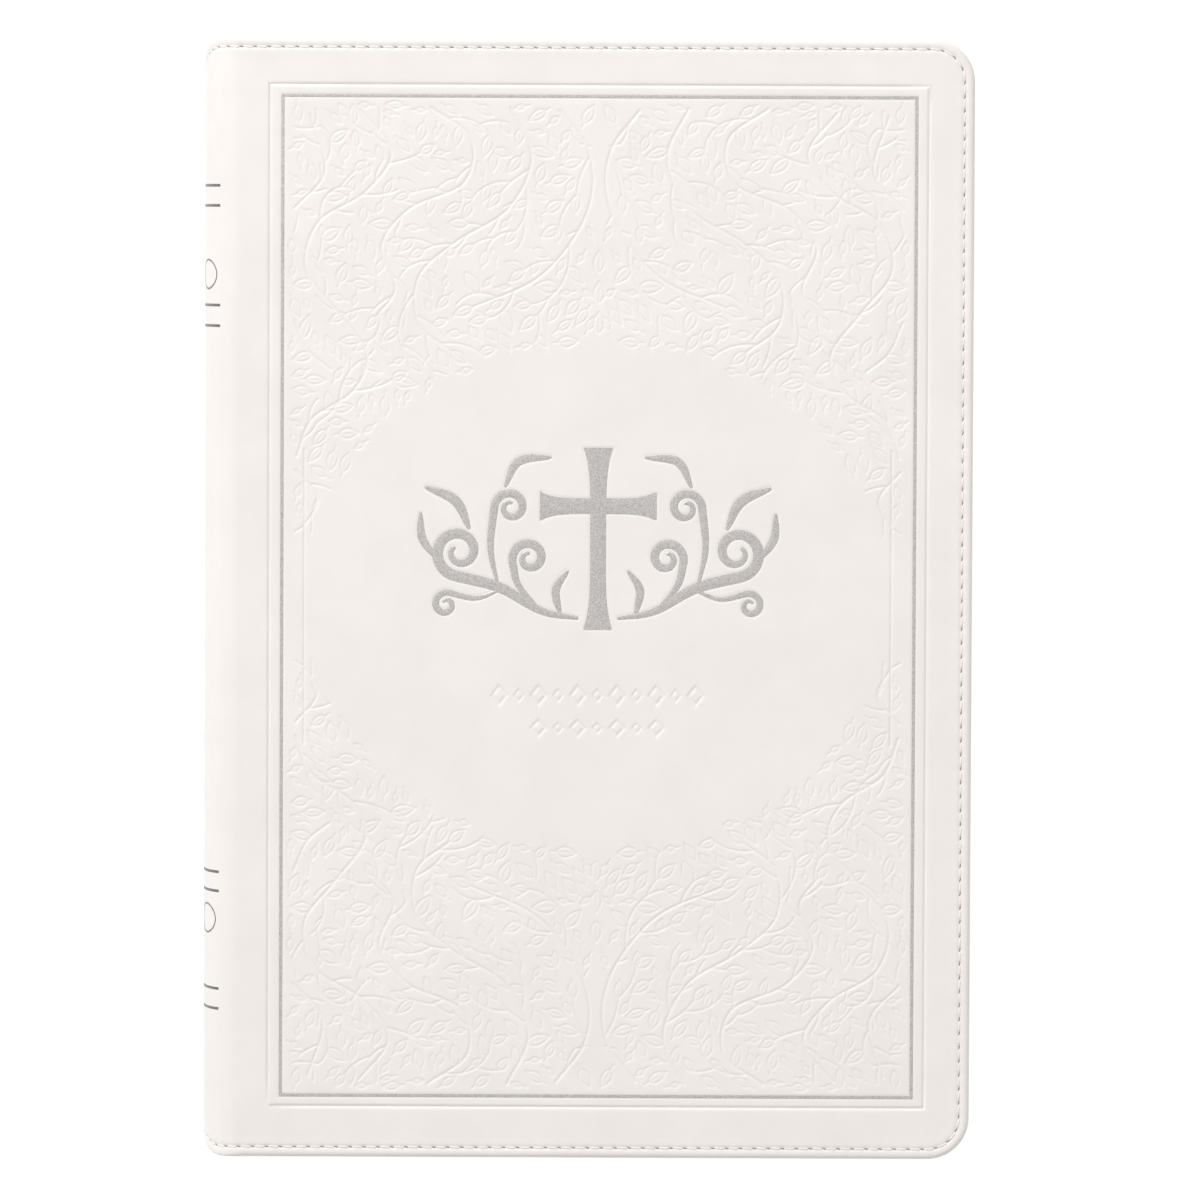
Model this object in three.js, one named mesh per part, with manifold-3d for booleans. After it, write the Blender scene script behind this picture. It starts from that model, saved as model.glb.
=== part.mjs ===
// A large hollow-backed book, closed and lying on its back cover. Millimetres.
// +X runs from the spine to the fore-edge, +Y from the tail to the head, +Z up out of the front cover.
// The origin is in the middle of the back cover's outer face.
import * as THREE from "three";
import { mergeVertices } from "three/addons/utils/BufferGeometryUtils.js";
import Module from "manifold-3d";

const wasm = await Module();
wasm.setup();

// Closed book
const bookWidth = 165;
const bookHeight = 240;
const bookThickness = 36;
const foreEdge = bookWidth / 2;
const headEdge = bookHeight / 2;
const middleZ = bookThickness / 2;

// Rounded spine: half of a superellipse, from one cover's flat to the other's
const spineDepth = 8;
const spinePower = 2.3;
const shoulder = spineDepth - foreEdge; // x where the covers turn flat
const spineSteps = 28;

// Leather skin and its turned edges
const skin = 1.1;
const rimWidth = 3.5;
const rimHeight = 2.3;
const foreCorner = 9;
const spineCorner = 4;
const joinGap = 0.3; // between leather panels, and round each piece that is let into another
const layerGap = 0.1;
const cornerSegments = 6;

// Layers of a cover, measured up from its outer face
const boardTop = 2.25;
const liningBottom = 2.35;
const liningTop = 2.75;
const pastedownBottom = 2.8;
const coverThickness = 3;
const pocketStart = shoulder - 1.5;
const boardStart = shoulder + 1;
const liningStart = shoulder - 1.2;
const liningInset = 0.8;
const pastedownInset = 5.5;

// Stitching: one thread in a channel round the three open edges
const stitchInset = 2.2;
const channelWidth = 1.2;
const channelDepth = 0.5;
const threadWidth = 0.6;
const threadBottom = 0.05;
const threadTop = 0.35;

// Text block
const pageSquare = 3.5; // cover left showing round the leaves
const pageHeight = bookHeight - 2 * pageSquare;
const pageCorner = 7;
const spineRound = 5; // how far the block's back bows out, and its fore-edge hollows in
const pageWidth = bookWidth - spineDepth - pageSquare - spineRound;
const sectionsInHalf = 6;
const sectionGap = 0.05;
const flyleafThickness = 0.3;
const ribbonSpace = 0.5; // between the two middle sections
const blockBottom = coverThickness + layerGap;
const sectionBottom = blockBottom + flyleafThickness + sectionGap;
const sectionPitch = (middleZ - ribbonSpace / 2 - sectionBottom) / sectionsInHalf;

// The flat leaves start beyond the gutter. A section slides towards the spine as the book opens, by
// more the deeper it lies, and its leaves start that far from the shoulder and a little more.
const slideAtCover = 8;
const slideSlope = 0.93;
const gutterClearance = 2.5;

// Spine linings
const linerThickness = 0.7;
const linerMargin = 5;
const mullThickness = 0.4;
const mullMargin = 1;
const mullHeight = 222;
const bandRadius = 1.1;
const bandSides = 8;
const bandSteps = 10;

// Ribbon
const ribbonWidth = 10;
const ribbonThickness = 0.3;
const ribbonTop = new THREE.Vector2(shoulder + 29.5, 60);
const ribbonBottom = new THREE.Vector2(shoulder + 48, -105);
const ribbonSteps = 8;

const finishes = {
  leather: { color: 0xf1eeec, roughness: 0.5 },
  lining: { color: 0xece7e3, roughness: 0.6 },
  board: { color: 0x9a9488, roughness: 0.9 },
  thread: { color: 0xe6ded6, roughness: 0.7 },
  paper: { color: 0xf2ede0, roughness: 0.85 },
  endpaper: { color: 0xf6f4f0, roughness: 0.8 },
  cloth: { color: 0xe9e4d8, roughness: 0.95 },
  band: { color: 0xf4f2ee, roughness: 0.7 },
  ribbon: { color: 0xf3f1ee, roughness: 0.35 },
};

function piece(name, geometry, finish) {
  const mesh = new THREE.Mesh(
    geometry,
    new THREE.MeshStandardMaterial({ ...finishes[finish], metalness: 0 }),
  );
  mesh.name = name;
  return mesh;
}

// Joining and cutting: manifold-3d takes and gives closed triangle meshes.
function solidOf(geometry) {
  const bare = geometry.clone();
  bare.deleteAttribute("normal");
  bare.deleteAttribute("uv");
  const merged = mergeVertices(bare);
  return new wasm.Manifold(
    new wasm.Mesh({
      numProp: 3,
      vertProperties: merged.attributes.position.array,
      triVerts: new Uint32Array(merged.index.array),
    }),
  );
}

function geometryOf(solid) {
  const { vertProperties, triVerts } = solid.getMesh();
  const geometry = new THREE.BufferGeometry();
  geometry.setAttribute("position", new THREE.BufferAttribute(vertProperties, 3));
  geometry.setIndex(new THREE.BufferAttribute(triVerts, 1));
  geometry.computeVertexNormals();
  return geometry;
}

// A plan outline with small corners on the spine side and larger ones on the fore-edge side.
function planOutline(left, right, halfHeight, leftCorner, rightCorner) {
  const outline = new THREE.Shape();
  const corner = (x, y, radius, start) => {
    if (radius > 0) outline.absarc(x, y, radius, start, start + Math.PI / 2, false);
    else outline.lineTo(x, y);
  };
  outline.moveTo(left + leftCorner, -halfHeight);
  corner(right - rightCorner, rightCorner - halfHeight, rightCorner, -Math.PI / 2);
  corner(right - rightCorner, halfHeight - rightCorner, rightCorner, 0);
  corner(left + leftCorner, halfHeight - leftCorner, leftCorner, Math.PI / 2);
  corner(left + leftCorner, leftCorner - halfHeight, leftCorner, Math.PI);
  return outline;
}

function slab(outline, bottom, top) {
  const geometry = new THREE.ExtrudeGeometry(outline, {
    depth: top - bottom,
    bevelEnabled: false,
    curveSegments: cornerSegments,
  });
  return geometry.translate(0, 0, bottom);
}

// A section outline, drawn in x and z, drawn out along y to both sides of the middle.
function prismAlongY(points, length) {
  const geometry = new THREE.ExtrudeGeometry(new THREE.Shape(points), {
    depth: length,
    bevelEnabled: false,
  });
  return geometry.rotateX(Math.PI / 2).translate(0, length / 2, 0);
}

// Points of the spine's curve, moved inwards by inset, from the back cover's side to the front's.
function spineCurve(inset) {
  const points = [];
  for (let i = 0; i <= spineSteps; i++) {
    const angle = (Math.PI * i) / spineSteps - Math.PI / 2;
    const across = Math.abs(Math.cos(angle)) ** (2 / spinePower);
    const along = Math.sign(angle) * Math.abs(Math.sin(angle)) ** (2 / spinePower);
    const outward = new THREE.Vector2(
      -(across ** (spinePower - 1)) / spineDepth,
      (Math.sign(angle) * Math.abs(along) ** (spinePower - 1)) / middleZ,
    ).normalize();
    points.push(
      new THREE.Vector2(shoulder - across * spineDepth, middleZ + along * middleZ).addScaledVector(
        outward,
        -inset,
      ),
    );
  }
  return points;
}

// How far the back of the text block stands from the shoulder at a height.
function foldDistance(z) {
  return spineRound * ((z - middleZ) / (middleZ - blockBottom)) ** 2;
}

// The path of the stitching's middle line: in from the spine side along the tail, up the fore-edge and
// back along the head, widened to a closed outline.
function stitchOutline(start, width) {
  const outline = new THREE.Shape();
  const side = (offset, forward) => {
    const x = foreEdge - foreCorner;
    const y = headEdge - foreCorner;
    const radius = foreCorner - stitchInset + offset;
    if (forward) {
      outline.absarc(x, -y, radius, -Math.PI / 2, 0, false);
      outline.absarc(x, y, radius, 0, Math.PI / 2, false);
    } else {
      outline.absarc(x, y, radius, Math.PI / 2, 0, true);
      outline.absarc(x, -y, radius, 0, -Math.PI / 2, true);
    }
  };
  outline.moveTo(start, stitchInset - headEdge + width / 2);
  outline.lineTo(start, stitchInset - headEdge - width / 2);
  side(width / 2, true);
  outline.lineTo(start, headEdge - stitchInset + width / 2);
  outline.lineTo(start, headEdge - stitchInset - width / 2);
  side(-width / 2, false);
  return outline;
}

// The whole book's outer form, from the table up to a height.
function coverBlank(top) {
  const beyond = foreEdge + 1;
  const foreSide = [new THREE.Vector2(beyond, 0), new THREE.Vector2(beyond, bookThickness)];
  const across = prismAlongY([...foreSide, ...spineCurve(0).reverse()], bookHeight);
  const plan = slab(
    planOutline(-foreEdge, foreEdge, headEdge, spineCorner, foreCorner),
    0,
    top,
  );
  return solidOf(plan).intersect(solidOf(across));
}

// One cover with its outer face on z = 0. Both covers are made by it: it is the same either way up.
function cover(side) {
  const group = new THREE.Group();
  const pocketCorner = foreCorner - rimWidth;
  const pocket = slab(
    planOutline(pocketStart, foreEdge - rimWidth, headEdge - rimWidth, 0, pocketCorner),
    skin,
    rimHeight + 1,
  );
  const channel = slab(stitchOutline(shoulder, channelWidth), -1, channelDepth);
  const leather = coverBlank(rimHeight).subtract(solidOf(pocket)).subtract(solidOf(channel));
  group.add(piece(`${side}_leather`, geometryOf(leather), "leather"));

  const boardEdge = rimWidth + joinGap;
  const board = planOutline(
    boardStart,
    foreEdge - boardEdge,
    headEdge - boardEdge,
    0,
    pocketCorner - joinGap,
  );
  group.add(piece(`${side}_board`, slab(board, skin + layerGap, boardTop), "board"));

  const lining = planOutline(
    liningStart,
    foreEdge - liningInset,
    headEdge - liningInset,
    0,
    foreCorner - liningInset,
  );
  group.add(piece(`${side}_lining`, slab(lining, liningBottom, liningTop), "lining"));

  const pastedown = planOutline(
    liningStart,
    foreEdge - pastedownInset,
    headEdge - pastedownInset,
    0,
    foreCorner - pastedownInset,
  );
  group.add(piece(`${side}_pastedown`, slab(pastedown, pastedownBottom, coverThickness), "endpaper"));

  const thread = slab(stitchOutline(shoulder + joinGap, threadWidth), threadBottom, threadTop);
  group.add(piece(`${side}_stitching`, thread, "thread"));
  return group;
}

// A shell that follows the spine's curve between two depths, kept between two heights.
function spineShell(outerInset, innerInset, bottom, height) {
  const keep = ({ y }) => y > bottom && y < bookThickness - bottom;
  const trimmed = (inset) => {
    const points = spineCurve(inset);
    const inside = points.filter(keep);
    const first = points.indexOf(inside[0]);
    const last = points.indexOf(inside[inside.length - 1]);
    const cut = (a, b, z) => a.clone().lerp(b, (z - a.y) / (b.y - a.y));
    return [
      cut(points[first - 1], points[first], bottom),
      ...inside,
      cut(points[last], points[last + 1], bookThickness - bottom),
    ];
  };
  return prismAlongY([...trimmed(innerInset), ...trimmed(outerInset).reverse()], height);
}

// A strip across the spine, the stitching's distance in from the head (end 1) or the tail (end -1).
function spineStrip(end, outerInset, innerInset, bottom, width) {
  return spineShell(outerInset, innerInset, bottom, width).translate(0, end * (headEdge - stitchInset), 0);
}

function spineLeather() {
  const bottom = rimHeight + joinGap;
  const plan = slab(
    planOutline(-foreEdge, foreEdge, headEdge, spineCorner, foreCorner),
    0,
    bookThickness,
  );
  let shell = solidOf(spineShell(0, skin, bottom, bookHeight)).intersect(solidOf(plan));
  for (const end of [1, -1]) {
    shell = shell.subtract(solidOf(spineStrip(end, -1, channelDepth, rimHeight, channelWidth)));
  }
  return geometryOf(shell);
}

function spineStitching(end) {
  return spineStrip(end, threadBottom, threadTop, rimHeight + 2 * joinGap, threadWidth);
}

// The mull follows the backs of the sections.
function mull() {
  const bottom = blockBottom + mullMargin;
  const steps = 2 * sectionsInHalf;
  const line = (offset) =>
    Array.from({ length: steps + 1 }, (_, i) => {
      const z = bottom + ((bookThickness - 2 * bottom) * i) / steps;
      return new THREE.Vector2(shoulder + foldDistance(z) - offset, z);
    });
  const inner = line(joinGap);
  const outer = line(joinGap + mullThickness).reverse();
  return prismAlongY([...outer, ...inner], mullHeight);
}

// A corded band along the end of the text block's back.
function band(end) {
  const bottom = sectionBottom + bandRadius;
  const y = end * (pageHeight / 2 + layerGap + bandRadius);
  const curve = new THREE.CatmullRomCurve3(
    Array.from({ length: bandSteps + 1 }, (_, i) => {
      const z = bottom + ((bookThickness - 2 * bottom) * i) / bandSteps;
      return new THREE.Vector3(shoulder + foldDistance(z) + bandRadius, y, z);
    }),
  );
  const section = new THREE.Shape(
    Array.from({ length: bandSides }, (_, i) => {
      const angle = (2 * Math.PI * i) / bandSides;
      return new THREE.Vector2(bandRadius * Math.cos(angle), bandRadius * Math.sin(angle));
    }),
  );
  return new THREE.ExtrudeGeometry(section, { steps: bandSteps, extrudePath: curve });
}

// A section's depth below its own cover's inner face decides how far it slides.
function leavesStart(depth) {
  return shoulder + slideAtCover + slideSlope * depth + gutterClearance;
}

function leavesOutline(start, z) {
  const end = shoulder + foldDistance(z) + pageWidth;
  return planOutline(start, end, pageHeight / 2, 0, pageCorner);
}

// The gutter part of a section: folded leaves with a round back.
function sectionFold(bottom, top, start) {
  const z = (bottom + top) / 2;
  const radius = (top - bottom) / 2;
  const back = shoulder + foldDistance(z) + radius;
  const round = Array.from({ length: cornerSegments + 1 }, (_, i) => {
    const angle = Math.PI / 2 + (Math.PI * i) / cornerSegments;
    return new THREE.Vector2(back + radius * Math.cos(angle), z + radius * Math.sin(angle));
  });
  const inner = [new THREE.Vector2(start - joinGap, bottom), new THREE.Vector2(start - joinGap, top)];
  return prismAlongY([...round, ...inner], pageHeight);
}

function sections(group) {
  const count = 2 * sectionsInHalf;
  for (let i = 0; i < count; i++) {
    const fromCover = i < sectionsInHalf ? i : count - 1 - i;
    const low = sectionBottom + fromCover * sectionPitch;
    const high = low + sectionPitch - sectionGap;
    const [bottom, top] = i < sectionsInHalf ? [low, high] : [bookThickness - high, bookThickness - low];
    const start = leavesStart((low + high) / 2 - coverThickness);
    const name = `section_${String(i + 1).padStart(2, "0")}`;
    group.add(piece(`${name}_fold`, sectionFold(bottom, top, start), "paper"));
    group.add(piece(`${name}_leaves`, slab(leavesOutline(start, (bottom + top) / 2), bottom, top), "paper"));
  }
}

function flyleaf(bottom) {
  const top = bottom + flyleafThickness;
  return slab(leavesOutline(leavesStart(0), (bottom + top) / 2), bottom, top);
}

// The ribbon lies between the middle sections, slanting away from the gutter.
function ribbon() {
  const side = (offset) =>
    Array.from({ length: ribbonSteps + 1 }, (_, i) => {
      const share = i / ribbonSteps;
      const x = THREE.MathUtils.lerp(ribbonTop.x, ribbonBottom.x, share ** 1.5);
      const y = THREE.MathUtils.lerp(ribbonTop.y, ribbonBottom.y, share);
      return new THREE.Vector2(x + offset, y);
    });
  const outline = new THREE.Shape([...side(-ribbonWidth / 2), ...side(ribbonWidth / 2).reverse()]);
  return slab(outline, middleZ - ribbonThickness / 2, middleZ + ribbonThickness / 2);
}

const book = new THREE.Group();

const backCover = cover("back");
const frontCover = cover("front");
frontCover.rotation.x = Math.PI;
frontCover.position.z = bookThickness;
book.add(backCover, frontCover);

const spine = new THREE.Group();
spine.add(piece("spine_leather", spineLeather(), "leather"));
spine.add(
  piece(
    "spine_liner",
    spineShell(skin + layerGap, skin + layerGap + linerThickness, linerMargin, pageHeight),
    "board",
  ),
);
spine.add(piece("mull", mull(), "cloth"));
for (const [end, name] of [[1, "head"], [-1, "tail"]]) {
  spine.add(piece(`spine_${name}_stitching`, spineStitching(end), "thread"));
  spine.add(piece(`${name}band`, band(end), "band"));
}
book.add(spine);

const textBlock = new THREE.Group();
sections(textBlock);
textBlock.add(piece("back_flyleaf", flyleaf(blockBottom), "endpaper"));
textBlock.add(
  piece("front_flyleaf", flyleaf(bookThickness - blockBottom - flyleafThickness), "endpaper"),
);
textBlock.add(piece("ribbon_marker", ribbon(), "ribbon"));
book.add(textBlock);

export default book;
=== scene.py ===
"""A large white leather-bound book with blind-stamped vines and silver foil, laid round the CAD model.

Lengths are in millimetres until a mesh is made, in the CAD model's frame: +X runs from the spine to the
fore-edge, +Y from the tail to the head and +Z up out of the front cover.
"""

import math
import random

import bpy
import numpy as np
from mathutils import Matrix, Vector
from mathutils.geometry import delaunay_2d_cdt


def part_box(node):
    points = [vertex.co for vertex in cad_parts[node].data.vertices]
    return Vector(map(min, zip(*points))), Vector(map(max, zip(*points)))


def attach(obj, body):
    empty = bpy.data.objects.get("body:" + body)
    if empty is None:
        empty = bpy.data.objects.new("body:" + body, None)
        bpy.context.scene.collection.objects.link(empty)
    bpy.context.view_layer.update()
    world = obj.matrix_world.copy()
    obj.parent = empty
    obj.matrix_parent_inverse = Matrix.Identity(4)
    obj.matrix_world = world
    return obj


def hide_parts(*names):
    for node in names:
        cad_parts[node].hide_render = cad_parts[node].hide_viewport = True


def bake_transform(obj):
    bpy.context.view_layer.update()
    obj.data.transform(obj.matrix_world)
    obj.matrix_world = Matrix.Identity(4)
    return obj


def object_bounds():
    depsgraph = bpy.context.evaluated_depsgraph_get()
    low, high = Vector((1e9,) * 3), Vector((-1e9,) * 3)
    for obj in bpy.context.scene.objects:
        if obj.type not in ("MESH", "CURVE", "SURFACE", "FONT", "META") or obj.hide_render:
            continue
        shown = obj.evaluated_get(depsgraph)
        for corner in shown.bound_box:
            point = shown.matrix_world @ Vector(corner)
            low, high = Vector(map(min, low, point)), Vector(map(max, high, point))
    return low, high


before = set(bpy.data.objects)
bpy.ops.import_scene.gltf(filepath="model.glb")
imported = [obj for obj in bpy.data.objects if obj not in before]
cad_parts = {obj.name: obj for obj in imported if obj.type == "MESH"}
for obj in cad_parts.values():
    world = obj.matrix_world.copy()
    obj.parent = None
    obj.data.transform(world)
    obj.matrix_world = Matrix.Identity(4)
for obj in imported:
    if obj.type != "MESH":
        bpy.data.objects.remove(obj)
cad_low, cad_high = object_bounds()

MM = 0.001


def node_box(name):
    """A CAD node's lowest and highest corners, in millimetres."""
    low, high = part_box(name)
    return np.array(low) / MM, np.array(high) / MM


# The closed book
LEFT, _, BOTTOM = np.array(cad_low) / MM
RIGHT, HEAD, TOP = np.array(cad_high) / MM
MIDDLE_Z = (BOTTOM + TOP) / 2
HALF_THICKNESS = (TOP - BOTTOM) / 2
SPINE_DEPTH = 8.0
SPINE_POWER = 2.3
SHOULDER = LEFT + SPINE_DEPTH
SPINE_CORNER = 4.0
FORE_CORNER = 9.0

# Leather: thickness, and the covers' turned edge
SKIN = 1.1
TURNED_EDGE = 2.3
SPINE_TURNED_EDGE = 1.2
RIM_WIDTH = 3.5

# Stitching round the edge
STITCH_INSET = 2.2
STITCH_PITCH = 3.0
CHANNEL_DEPTH = 0.2
CHANNEL_SPREAD = 0.42

# The stamped frame, from the middle of the pattern
PATTERN_X = 2.4
PATTERN_Y = 0.4
RELIEF_CELL = 0.0977
PANEL_CELLS = (720, 1120)  # relief cells in the panel's half width and height, so mesh cells in the whole
RULE_HALF = tuple(cells * RELIEF_CELL for cells in PANEL_CELLS)  # 70.3 by 109.4
RULE_DEPTH = 0.3
RULE_SPREAD = 0.3
FOIL_HALF = (67.65, 107.05)
FOIL_WIDTH = 0.7
INNER_RULE_X = 62.8
INNER_RULE_END = 31.5


# ---- meshes


def new_piece(name, verts, faces, material, smooth_angle=math.radians(50), flip=False):
    """A mesh piece from millimetre points, smooth but for its sharp edges."""
    mesh = bpy.data.meshes.new(name)
    if flip:
        faces = [face[::-1] for face in faces]
    mesh.from_pydata((np.asarray(verts, float) * MM).tolist(), [], faces)
    mesh.validate()
    mesh.shade_smooth()
    mesh.set_sharp_from_angle(angle=smooth_angle)
    keep_rest_places(mesh)
    piece = bpy.data.objects.new(name, mesh)
    bpy.context.scene.collection.objects.link(piece)
    mesh.materials.append(material)
    return piece


def keep_rest_places(mesh):
    """Stores where each point lies on the closed book, so that a texture stays put as the piece bends."""
    places = np.empty(len(mesh.vertices) * 3, np.float32)
    mesh.vertices.foreach_get("co", places)
    mesh.attributes.new("rest", "FLOAT_VECTOR", "POINT").data.foreach_set("vector", places)


def grid_faces(rows, columns, closed_rows=False, closed_columns=False, first=0):
    """Quads over a grid of points that is stored row by row."""
    faces = []
    for i in range(rows if closed_rows else rows - 1):
        a, b = first + i * columns, first + (i + 1) % rows * columns
        for j in range(columns if closed_columns else columns - 1):
            k = (j + 1) % columns
            faces.append((a + j, a + k, b + k, b + j))
    return faces


class Gather:
    """Points and faces of many small shapes, collected for one mesh."""

    def __init__(self):
        self.verts = []
        self.faces = []

    def add(self, verts, faces):
        first = len(self.verts)
        self.verts.extend(verts)
        self.faces.extend(tuple(first + i for i in face) for face in faces)


# ---- the leather's flat pattern


def spine_table(samples=1500):
    """The outer curve from the crown to the shoulder: arc length, x from the shoulder, height, normal."""
    angle = np.linspace(0, math.pi / 2, samples)
    across = np.cos(angle) ** (2 / SPINE_POWER)
    across[-1] = 0
    along = np.sin(angle) ** (2 / SPINE_POWER)
    x, z = -SPINE_DEPTH * across, HALF_THICKNESS * along
    arc = np.concatenate([[0], np.cumsum(np.hypot(np.diff(x), np.diff(z)))])
    nx = -(across ** (SPINE_POWER - 1)) / SPINE_DEPTH
    nz = along ** (SPINE_POWER - 1) / HALF_THICKNESS
    size = np.hypot(nx, nz)
    return arc, x, z, nx / size, nz / size


ARC, ARC_X, ARC_Z, ARC_NX, ARC_NZ = spine_table()
SPINE_ARC = ARC[-1]
FORE_U = SPINE_ARC + RIGHT - SHOULDER
PATTERN_U = SPINE_ARC + (PATTERN_X - SHOULDER)


def u_at(x):
    """Distance from the crown along the leather's outer face, at a place across the book."""
    from_shoulder = np.asarray(x, float) - SHOULDER
    return np.where(from_shoulder < 0, np.interp(from_shoulder, ARC_X, ARC), SPINE_ARC + from_shoulder)


def wrap(points, side):
    """Lays flat-pattern points (distance from the crown, y, height off the outer face) on one half of
    the binding: side 1 is the front and side -1 the back."""
    u, y, h = np.asarray(points, float).reshape(-1, 3).T
    flat = np.maximum(u - SPINE_ARC, 0)
    x = SHOULDER + np.interp(u, ARC, ARC_X) + flat + np.interp(u, ARC, ARC_NX) * h
    z = np.interp(u, ARC, ARC_Z) + np.interp(u, ARC, ARC_NZ) * h
    return np.column_stack([x, y, MIDDLE_Z + side * z])


def head_edge(u):
    """How far the leather reaches towards the head at a distance from the crown."""
    from_crown = np.interp(u, ARC, ARC_X) + SPINE_DEPTH
    short = np.clip(SPINE_CORNER - from_crown, 0, SPINE_CORNER)
    return HEAD - SPINE_CORNER + np.sqrt(SPINE_CORNER**2 - short**2)


def leather_outline(step=0.5):
    """The open edge of one half, from the crown's head round the fore-edge to the crown's tail, at equal
    steps, with its inward directions."""
    along = np.linspace(0, FORE_U - FORE_CORNER, 500)
    turn = np.linspace(math.pi / 2, 0, 40)[1:]
    corner = np.array([FORE_U - FORE_CORNER, HEAD - FORE_CORNER])
    head = np.column_stack([along, head_edge(along)])
    bend = corner + FORE_CORNER * np.column_stack([np.cos(turn), np.sin(turn)])
    half = np.vstack([head, bend])
    line = np.vstack([half, half[::-1] * (1, -1)])
    run = np.concatenate([[0], np.cumsum(np.hypot(*np.diff(line, axis=0).T))])
    count = int(run[-1] / step) | 1
    even = np.linspace(0, run[-1], count)
    outline = np.column_stack([np.interp(even, run, line[:, 0]), np.interp(even, run, line[:, 1])])
    forward = np.gradient(outline, axis=0)
    forward[0], forward[-1] = (1, 0), (-1, 0)
    forward /= np.hypot(*forward.T)[:, None]
    return outline, np.column_stack([forward[:, 1], -forward[:, 0]])


OUTLINE, INWARD = leather_outline()
STITCH_LINE = OUTLINE + INWARD * STITCH_INSET
STITCH_RUN = np.concatenate([[0], np.cumsum(np.hypot(*np.diff(STITCH_LINE, axis=0).T))])
STITCH_COUNT = round(STITCH_RUN[-1] / STITCH_PITCH)
STITCH_STEP = STITCH_RUN[-1] / STITCH_COUNT


def stitch_place(run):
    """Place and inward direction of the stitch line at a distance along it."""
    place = [np.interp(run, STITCH_RUN, STITCH_LINE[:, k]) for k in (0, 1)]
    inward = np.array([np.interp(run, STITCH_RUN, INWARD[:, k]) for k in (0, 1)])
    return np.array(place), inward / np.hypot(*inward)


def edge_thickness(u):
    """The turned edge is thick round a cover's board and thin where the spine bends."""
    share = np.clip((np.asarray(u, float) - SPINE_ARC + 3) / 5, 0, 1)
    return SPINE_TURNED_EDGE + (TURNED_EDGE - SPINE_TURNED_EDGE) * share**2 * (3 - 2 * share)


def rolled(distance, radius):
    """How far a round edge falls away at a distance in from it."""
    short = np.clip(radius - distance, 0, radius)
    return radius - np.sqrt(np.maximum(radius**2 - short**2, 0))


PUCKER = 0.05  # how far the thread pulls the leather down beside each stitch
PUFF = 0.05  # how far the leather stands up inside the sewn channel
PUFF_INSET = 4.6


def margin_height(distance, u, run):
    """Height of the leather's outer face near its edge: round edge, sewn channel and puckers."""
    pull = 0.5 - 0.5 * np.cos(2 * math.pi * run / STITCH_STEP)
    channel = np.exp(-(((distance - STITCH_INSET) / CHANNEL_SPREAD) ** 2)) * (0.8 + 0.35 * pull)
    pucker = PUCKER * pull * np.exp(-(((distance - STITCH_INSET) / 1.1) ** 2))
    puff = PUFF * np.exp(-(((distance - PUFF_INSET) / 1.2) ** 2))
    return -rolled(distance, edge_thickness(u) / 2) - CHANNEL_DEPTH * channel - pucker - puff


# Distances in from the edge of the rows of points over and under it, and out from the panel's opening
UNDER_ROWS = (0.05, 0.15, 0.35, 0.65, 1.15, RIM_WIDTH)
CHANNEL_ROWS = (1.0, 1.3, 1.5, 1.7, 1.85, 2.0, 2.2, 2.4, 2.55, 2.7, 2.9)
TOP_ROWS = (0, *UNDER_ROWS[:4], *CHANNEL_ROWS, 3.2, 3.8, 4.6, 5.6)
RULE_ROWS = (1.1, 0.7, 0.45, 0.28, 0.14, 0)
HOLE_STEP = 6.0
BEND_STEP = 0.5
FILL_LINES = 41
BARREL = 6e-6


def rule_groove(distance):
    return -RULE_DEPTH * np.exp(-((distance / RULE_SPREAD) ** 2))


def hole_ring(distance):
    """Points round the stamped panel's opening, a distance outside it, in the flat pattern."""
    x, y = RULE_HALF[0] + distance, RULE_HALF[1] + distance
    across, along = (np.linspace(-1, 1, round(2 * half / HOLE_STEP)) for half in RULE_HALF)
    ring = [(x * s, -y) for s in across[:-1]] + [(x, y * s) for s in along[:-1]]
    ring += [(x * s, y) for s in across[:0:-1]] + [(-x, y * s) for s in along[:0:-1]]
    return np.array(ring) + (PATTERN_U, PATTERN_Y)


def inside_loop(places, loop):
    """Which places lie inside a closed loop."""
    inside = np.zeros(len(places), bool)
    x, y = places.T
    for (x0, y0), (x1, y1) in zip(loop, np.roll(loop, -1, axis=0)):
        crosses = (y0 > y) != (y1 > y)
        inside ^= crosses & (x < x0 + (x1 - x0) * (y - y0) / (y1 - y0 + 1e-12))
    return inside


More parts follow.
